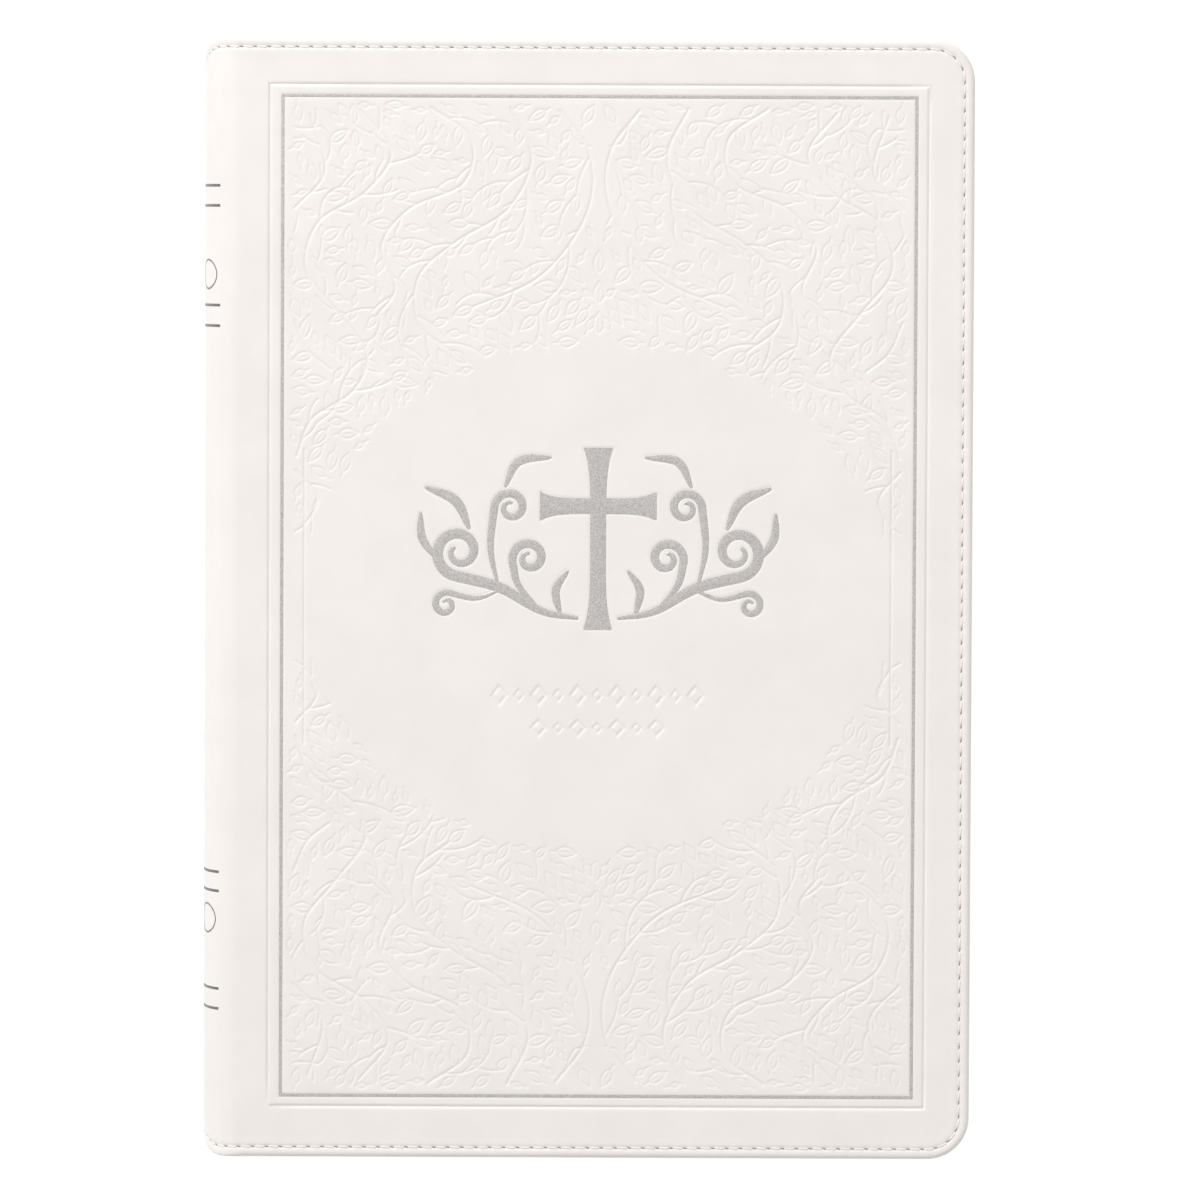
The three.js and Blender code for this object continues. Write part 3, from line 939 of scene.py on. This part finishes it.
def add_ribbon(material):
    """A satin ribbon laid between the middle sections, with a notched end."""
    low, high = node_box("ribbon_marker")
    half = RIBBON_WIDTH / 2
    top_x, end_x = low[0] + half, high[0] - half
    rows, columns = 70, 9
    middle_z = (low[2] + high[2]) / 2
    grid = []
    for i in range(rows):
        share = i / (rows - 1)
        middle = np.array([top_x + (end_x - top_x) * share**1.5, high[1] + (low[1] - high[1]) * share])
        for j in range(columns):
            across = 2 * j / (columns - 1) - 1
            notch = NOTCH_DEPTH * (1 - abs(across)) * max(0, share - NOTCH_START) / (1 - NOTCH_START)
            hem = 0.02 if abs(across) > 0.9 else 0.0
            z = middle_z + RIBBON_THICKNESS / 2 + hem + 0.02 * math.sin(40 * share)
            grid.append((middle[0] + across * half, middle[1] + notch, z))
    count = len(grid)
    verts = grid + [(x, y, z - RIBBON_THICKNESS) for x, y, z in grid]
    faces = grid_faces(rows, columns)
    faces += [tuple(count + i for i in face[::-1]) for face in faces]
    rim = [*range(columns), *range(2 * columns - 1, count, columns)]
    rim += [*range(count - 2, count - columns - 1, -1), *range(count - 2 * columns, 0, -columns)]
    for a, b in zip(rim, rim[1:] + rim[:1]):
        faces.append((b, a, count + a, count + b))
    piece = new_piece("satin_ribbon", verts, [f[::-1] for f in faces], material)
    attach(piece, "section_06")
    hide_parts("ribbon_marker")


def add_bands(material):
    """Corded head and tail bands: a core wrapped in thread, over the backs of the sections."""
    wraps, wrap_steps, around = 40, 6, 14
    for name in ("headband", "tailband"):
        low, high = node_box(name)
        radius = (high[1] - low[1]) / 2
        y = (low[1] + high[1]) / 2
        rise = (high[2] - low[2]) / 2
        bow = (high[0] - low[0]) - 2 * radius
        steps = wraps * wrap_steps
        gather = []
        for i in range(steps + 1):
            share = 2 * i / steps - 1
            x, z = low[0] + radius + bow * share**2, MIDDLE_Z + rise * share
            slope = math.atan2(2 * bow * share, rise)
            wrap_bulge = abs(math.sin(math.pi * i / wrap_steps))
            size = radius * (0.86 + 0.13 * wrap_bulge) * (1 - 0.6 * max(0, abs(share) - 0.97) / 0.03)
            for j in range(around):
                turn = 2 * math.pi * j / around
                out = size * math.cos(turn)
                rim = (x + out * math.cos(slope), y + size * math.sin(turn), z - out * math.sin(slope))
                gather.append(rim)
        faces = grid_faces(steps + 1, around, closed_columns=True)
        faces += [tuple(range(around))[::-1], tuple(range(steps * around, (steps + 1) * around))]
        piece = new_piece(f"{name}_cord", gather, faces, material)
        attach(piece, "spine")
        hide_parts(name)


# ---- materials


def nodes_of(name):
    material = bpy.data.materials.new(name)
    material.use_nodes = True
    tree = material.node_tree
    return material, tree, tree.nodes["Principled BSDF"]


def fit(tree, node, sockets):
    """Links an output to each named socket of a node, or sets the socket's value."""
    for name, value in sockets.items():
        if isinstance(value, bpy.types.NodeSocket):
            tree.links.new(value, node.inputs[name])
        else:
            node.inputs[name].default_value = value
    return node


def place_node(tree, rest):
    """Where a texture is looked up: the stored resting place, or the object's own space for CAD nodes."""
    if rest:
        node = tree.nodes.new("ShaderNodeAttribute")
        node.attribute_name = "rest"
        return node.outputs["Vector"]
    return tree.nodes.new("ShaderNodeTexCoord").outputs["Object"]


def noise(tree, place, scale, detail=3.0, roughness=0.6):
    """Noise whose features are about scale millimetres across."""
    node = tree.nodes.new("ShaderNodeTexNoise")
    shape = {"Scale": 1 / (scale * MM), "Detail": detail, "Roughness": roughness}
    return fit(tree, node, {**shape, "Vector": place}).outputs["Fac"]


def wave(tree, place, axis, width):
    """Bands across an axis, whose width in millimetres sets their scale."""
    node = tree.nodes.new("ShaderNodeTexWave")
    node.bands_direction = axis
    return fit(tree, node, {"Scale": 1 / (width * MM), "Vector": place}).outputs["Fac"]


def ramp(tree, value, low, high, dark, bright):
    """Blends two colours as a value goes from low to high."""
    node = tree.nodes.new("ShaderNodeValToRGB")
    for end, position, colour in zip(node.color_ramp.elements, (low, high), (dark, bright)):
        end.position = position
        end.color = (*colour, 1)
    return fit(tree, node, {"Fac": value}).outputs["Color"]


def bump(tree, height, depth, strength=1.0, after=None):
    """A bump of the given depth in millimetres."""
    node = tree.nodes.new("ShaderNodeBump")
    fit(tree, node, {"Distance": depth * MM, "Strength": strength, "Height": height})
    return fit(tree, node, {} if after is None else {"Normal": after}).outputs["Normal"]


def leather_material(name, dark, bright, roughness, rest=True):
    """Smooth coated leather: a fine pebble grain, soft waves and a faintly uneven sheen."""
    material, tree, shader = nodes_of(name)
    place = place_node(tree, rest)
    colour = ramp(tree, noise(tree, place, 14), 0.35, 0.65, dark, bright)
    spread = {"To Min": roughness - 0.05, "To Max": roughness + 0.07, "Value": noise(tree, place, 6)}
    rough = fit(tree, tree.nodes.new("ShaderNodeMapRange"), spread)
    pebble = tree.nodes.new("ShaderNodeTexVoronoi")
    pebble.feature = "SMOOTH_F1"
    fit(tree, pebble, {"Scale": 1 / (0.55 * MM), "Vector": place})
    grain = bump(tree, pebble.outputs["Distance"], 0.02, 0.5)
    waves = bump(tree, noise(tree, place, 5, 2.0), 0.05, 0.35, grain)
    fit(tree, shader, {"Base Color": colour, "Roughness": rough.outputs["Result"], "Normal": waves})
    fit(tree, shader, {"Specular IOR Level": 0.42, "Coat Weight": 0.06, "Coat Roughness": 0.35})
    return material


def foil_material(name, dark, bright, metallic):
    """Stamping foil with a fine speckle where it breaks over the leather's grain."""
    material, tree, shader = nodes_of(name)
    speckle = noise(tree, place_node(tree, True), 0.22, 2.0, 0.75)
    colour = ramp(tree, speckle, 0.35, 0.6, dark, bright)
    fit(tree, shader, {"Base Color": colour, "Normal": bump(tree, speckle, 0.03, 0.7)})
    fit(tree, shader, {"Metallic": metallic, "Roughness": 0.42})
    return material


def thread_material(name, colour):
    """Twisted sewing thread."""
    material, tree, shader = nodes_of(name)
    fibre = noise(tree, place_node(tree, True), 0.12, 2.0)
    shades = ramp(tree, fibre, 0.3, 0.7, tuple(0.86 * c for c in colour), colour)
    fit(tree, shader, {"Base Color": shades, "Normal": bump(tree, fibre, 0.03)})
    fit(tree, shader, {"Roughness": 0.65, "Sheen Weight": 0.2})
    return material


def plain_material(name, dark, bright, scale, roughness, depth, rest):
    """Paper, board and cloth: two close colours and a fine tooth."""
    material, tree, shader = nodes_of(name)
    place = place_node(tree, rest)
    colour = ramp(tree, noise(tree, place, scale, 4.0), 0.3, 0.7, dark, bright)
    tooth = bump(tree, noise(tree, place, scale / 8, 3.0), depth, 0.6)
    fit(tree, shader, {"Base Color": colour, "Normal": tooth, "Roughness": roughness})
    return material


LINE_PITCH = 3.5
LINE_SHARE = 0.42  # how much of the pitch a line of print takes
TEXT_HALF_HEIGHT = 101.0
TEXT_COLUMNS = ((SHOULDER + 24, SHOULDER + 78), (SHOULDER + 83, SHOULDER + 137))


def page_material():
    """Thin warm paper with two columns of faint grey lines of print, and no letters."""
    material, tree, shader = nodes_of("printed_paper")
    place = place_node(tree, True)
    split = fit(tree, tree.nodes.new("ShaderNodeSeparateXYZ"), {"Vector": place})

    def work(operation, *values):
        node = tree.nodes.new("ShaderNodeMath")
        node.operation = operation
        return fit(tree, node, dict(enumerate(values))).outputs["Value"]

    x, y = (work("DIVIDE", split.outputs[axis], MM) for axis in "XY")
    inked = work("LESS_THAN", work("FRACT", work("DIVIDE", y, LINE_PITCH)), LINE_SHARE)
    row = work("FLOOR", work("DIVIDE", y, LINE_PITCH))
    word = tree.nodes.new("ShaderNodeTexNoise")
    run = {"X": work("MULTIPLY", x, 0.42), "Y": work("MULTIPLY", row, 7.3)}
    along = fit(tree, tree.nodes.new("ShaderNodeCombineXYZ"), run)
    fit(tree, word, {"Scale": 1.0, "Detail": 1.0, "Vector": along.outputs["Vector"]})
    words = work("GREATER_THAN", word.outputs["Fac"], 0.46)
    inside = work("LESS_THAN", work("ABSOLUTE", y), TEXT_HALF_HEIGHT)
    columns = None
    for left, right in TEXT_COLUMNS:
        away = work("ABSOLUTE", work("SUBTRACT", x, (left + right) / 2))
        column = work("LESS_THAN", away, (right - left) / 2)
        columns = column if columns is None else work("MAXIMUM", columns, column)
    ink = work("MULTIPLY", work("MULTIPLY", inked, words), work("MULTIPLY", inside, columns))
    paper = ramp(tree, noise(tree, place, 5), 0.3, 0.7, (0.80, 0.77, 0.70), (0.84, 0.81, 0.74))
    mix = tree.nodes.new("ShaderNodeMix")
    mix.data_type = "RGBA"
    fit(tree, mix, {"Factor": work("MULTIPLY", ink, 0.62), "A": paper, "B": (0.13, 0.12, 0.12, 1)})
    tooth = bump(tree, noise(tree, place, 0.4), 0.01, 0.5)
    fit(tree, shader, {"Base Color": mix.outputs["Result"], "Normal": tooth, "Roughness": 0.75})
    return material


def gilt_material():
    """Silvered page edges: fine lines along the leaves, and a soft shine."""
    material, tree, shader = nodes_of("silvered_edge")
    place = place_node(tree, True)
    stretch = fit(tree, tree.nodes.new("ShaderNodeMapping"), {"Scale": (0.03, 0.03, 1), "Vector": place})
    lines = noise(tree, stretch.outputs["Vector"], 0.12, 3.0, 0.7)
    colour = ramp(tree, lines, 0.3, 0.7, (0.50, 0.49, 0.48), (0.80, 0.795, 0.785))
    fit(tree, shader, {"Base Color": colour, "Normal": bump(tree, lines, 0.05, 0.6)})
    fit(tree, shader, {"Metallic": 0.8, "Roughness": 0.38})
    return material


def ribbon_material():
    """Silver-white satin: fine cross ribs and a strong sheen along the weave."""
    material, tree, shader = nodes_of("satin")
    ribs = wave(tree, place_node(tree, True), "Y", 0.9)
    colour = ramp(tree, ribs, 0.2, 0.8, (0.32, 0.33, 0.345), (0.48, 0.49, 0.505))
    fit(tree, shader, {"Base Color": colour, "Normal": bump(tree, ribs, 0.02, 0.6)})
    fit(tree, shader, {"Roughness": 0.3, "Sheen Weight": 0.4, "Anisotropic": 0.5})
    return material


def band_material():
    """Two tones of silk wound round a core."""
    material, tree, shader = nodes_of("band_silk")
    place = place_node(tree, True)
    tones = wave(tree, place, "Z", 7.5)
    colour = ramp(tree, tones, 0.45, 0.55, (0.55, 0.56, 0.58), (0.86, 0.85, 0.83))
    fit(tree, shader, {"Base Color": colour, "Normal": bump(tree, noise(tree, place, 0.1), 0.03, 0.5)})
    fit(tree, shader, {"Roughness": 0.5, "Sheen Weight": 0.3})
    return material


# ---- camera, light and floor


def add_camera():
    """Almost straight above the front cover, far off, and a little towards the head."""
    distance, tilt, roll = 1.8, math.radians(2.6), math.radians(0.25)
    look_at = Vector((2.87, -0.08, TOP)) * MM
    data = bpy.data.cameras.new("camera")
    data.lens = 252.4
    camera = bpy.data.objects.new("camera", data)
    bpy.context.scene.collection.objects.link(camera)
    turn = Matrix.Rotation(-tilt, 3, "X")
    camera.matrix_world = Matrix.Translation(look_at + turn @ Vector((0, 0, distance))) @ (
        turn @ Matrix.Rotation(roll, 3, "Z")
    ).to_4x4()
    data.clip_end = 10
    bpy.context.scene.camera = camera


def add_light(name, place, aim, size, power):
    data = bpy.data.lights.new(name, "AREA")
    data.shape = "DISK"
    data.size = size
    data.energy = power
    light = bpy.data.objects.new(name, data)
    light.location = place
    light.rotation_euler = (Vector(aim) - Vector(place)).to_track_quat("-Z", "Y").to_euler()
    bpy.context.scene.collection.objects.link(light)


def add_studio():
    """A pale floor, one soft light from beyond the upper left corner, and white surroundings."""
    scene = bpy.context.scene
    scene.view_settings.view_transform = "Standard"
    scene.view_settings.look = "None"
    world = bpy.data.worlds.new("studio")
    scene.world = world
    world.use_nodes = True
    tree = world.node_tree
    direction = tree.nodes.new("ShaderNodeTexCoord")
    split = tree.nodes.new("ShaderNodeSeparateXYZ")
    tree.links.new(direction.outputs["Generated"], split.inputs["Vector"])
    sky = ramp(tree, split.outputs["Z"], 0.0, 1.0, (0.42, 0.42, 0.42), (1.0, 0.99, 0.98))
    tree.links.new(sky, tree.nodes["Background"].inputs["Color"])
    tree.nodes["Background"].inputs["Strength"].default_value = 0.82
    add_light("key", (-0.8, 1.45, 1.5), (0, 0, 0), 0.7, 34.0)

    mesh = bpy.data.meshes.new("floor")
    reach = 6.0
    corners = [(-reach, -reach, 0), (reach, -reach, 0), (reach, reach, 0), (-reach, reach, 0)]
    mesh.from_pydata(corners, [], [(0, 1, 2, 3)])
    floor = bpy.data.objects.new("floor", mesh)
    floor.location.z = -0.0002
    scene.collection.objects.link(floor)
    material, tree, shader = nodes_of("pale_floor")
    glow = {"Emission Color": (1, 1, 1, 1), "Emission Strength": 0.77}
    fit(tree, shader, {"Base Color": (0.4, 0.4, 0.4, 1), "Roughness": 0.9, **glow})
    mesh.materials.append(material)


# ---- fixing pieces in place


def bend_with_cover(piece):
    """Bakes a piece's placement into its points, where it was laid on the closed book."""
    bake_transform(piece)
    return piece


# ---- stitching


def capsule(length, radius, around=8, along=7):
    """A round-ended bar along u, lying on the plane h = 0: points (u, v, h) and faces."""
    points = []
    for i in range(along):
        share = -math.cos(math.pi * i / (along - 1))
        body = radius * math.sqrt(max(1 - abs(share) ** 5, 0.02))
        for j in range(around):
            turn = 2 * math.pi * j / around
            points.append((share * length / 2, body * math.cos(turn), body * math.sin(turn)))
    faces = grid_faces(along, around, closed_columns=True)
    faces += [tuple(range(around))[::-1], tuple(range((along - 1) * around, along * around))]
    return np.array(points), [f[::-1] for f in faces]


def stitch_run(length, radius, height, slant, offset, flatten):
    """One bar per stitch along the stitch line of a half."""
    gather = Gather()
    bar, faces = capsule(length, radius)
    bar[:, 2] *= flatten
    for k in range(STITCH_COUNT):
        run = (k + offset) * STITCH_STEP
        if not length / 2 < run < STITCH_RUN[-1] - length / 2:
            continue
        place, inward = stitch_place(run)
        forward = np.array([-inward[1], inward[0]])
        a = bar[:, 0] * math.cos(slant) - bar[:, 1] * math.sin(slant)
        b = bar[:, 0] * math.sin(slant) + bar[:, 1] * math.cos(slant)
        flat = place + np.outer(a, forward) + np.outer(b, inward)
        gather.add(np.column_stack([flat, bar[:, 2] + height]), faces)
    return gather


# Length, radius, height off the leather, slant, place along the line in stitches, flattening
THREAD = (2.15, 0.27, -0.22, 0.1, 0.0, 0.8)
# Dark bars of painted shade, sunk in the channel where the needle holes fall between the stitches
HOLE_SHADE_BAR = (1.15, 0.2, -0.3, 0.32, 0.5, 0.5)


def add_stitching(name, side, thread, dark):
    """Thread along the channel, and dark bars of painted shade in the needle holes between the stitches."""
    for label, bar, material in (("thread", THREAD, thread), ("painted_hole_shade", HOLE_SHADE_BAR, dark)):
        gather = stitch_run(*bar)
        verts = wrap(gather.verts, side)
        piece = new_piece(f"{name}_{label}", verts, gather.faces, material, flip=side < 0)
        bend_with_cover(piece)
        if label == "thread":
            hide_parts(f"{name}_stitching", f"spine_{'head' if side > 0 else 'tail'}_stitching")


# ---- scene

add_camera()
add_studio()

white_leather = leather_material("white_leather", (0.775, 0.742, 0.718), (0.80, 0.766, 0.742), 0.45)
inner_leather = leather_material("inner_leather", (0.74, 0.72, 0.70), (0.77, 0.75, 0.73), 0.5, rest=False)
white_thread = thread_material("white_thread", (0.84, 0.81, 0.77))
# Dark colour for the bars of painted shade in the needle holes
hole_shade = thread_material("needle_hole_shade", (0.30, 0.26, 0.23))
silver_foil = foil_material("silver_foil", (0.41, 0.395, 0.385), (0.67, 0.655, 0.645), 0.75)
# A much darker copy of the silver foil for the spine: the darkness is painted shade, where the stamping on
# the round spine turns away from the light
spine_silver_painted_shade = foil_material("spine_silver_painted_shade", (0.10, 0.10, 0.102), (0.19, 0.19, 0.192), 0.6)
board_grey = plain_material("grey_board", (0.30, 0.28, 0.25), (0.38, 0.36, 0.32), 3, 0.9, 0.05, False)
endpaper = plain_material("endpaper", (0.80, 0.79, 0.77), (0.85, 0.84, 0.82), 4, 0.7, 0.02, False)
mull_cloth = plain_material("mull_cloth", (0.70, 0.66, 0.58), (0.78, 0.74, 0.66), 1.2, 0.9, 0.08, False)

for side, name in ((1, "front"), (-1, "back")):
    leather = leather_half(f"{name}_cover_leather", side, white_leather)
    bend_with_cover(leather)
    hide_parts(f"{name}_leather", "spine_leather")
    add_stitching(name, side, white_thread, hole_shade)

add_panels(white_leather)
add_foil(silver_foil, spine_silver_painted_shade)
flyleaf = ("flyleaf_paper", (0.80, 0.79, 0.77), (0.85, 0.84, 0.82), 4, 0.7, 0.02, True)
add_text_block(page_material(), gilt_material(), plain_material(*flyleaf))
add_ribbon(ribbon_material())
add_bands(band_material())

CAD_FINISHES = {
    inner_leather: ("front_lining", "back_lining"),
    board_grey: ("front_board", "back_board", "spine_liner"),
    endpaper: ("front_pastedown", "back_pastedown"),
    mull_cloth: ("mull",),
}
for material, names in CAD_FINISHES.items():
    for name in names:
        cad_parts[name].data.materials.clear()
        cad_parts[name].data.materials.append(material)
